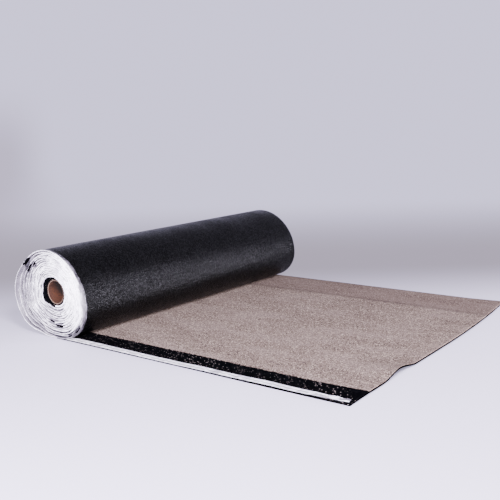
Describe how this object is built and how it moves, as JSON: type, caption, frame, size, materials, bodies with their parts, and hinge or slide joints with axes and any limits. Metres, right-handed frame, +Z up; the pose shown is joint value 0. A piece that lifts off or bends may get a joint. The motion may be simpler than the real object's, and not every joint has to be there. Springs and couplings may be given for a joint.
{
  "type": "roll of roofing felt",
  "caption": "Roll of mineral-surfaced bitumen roofing felt on a paper core, lying with its end run out flat, with plastic film along one edge.",
  "frame": {"origin": "on the floor, straight below the core tube's centre line, at half the felt's width", "axes": "Y along the roll with the filmed edge at -Y, +X the way the loose end runs out, +Z up"},
  "size_m": [1.1, 1.008, 0.246],
  "materials": {
    "bitumen": "polymer bitumen, satin black on its back under a thin melt-off film",
    "granules": "matt pink-grey slate granules pressed into the top face",
    "edge_film": "crumpled white plastic film",
    "core_paper": "brown spiral-wound paper"
  },
  "bodies": {
    "root": {"felt": "bitumen", "core_tube": "core_paper", "edge_film": "edge_film"}
  },
  "joints": []
}
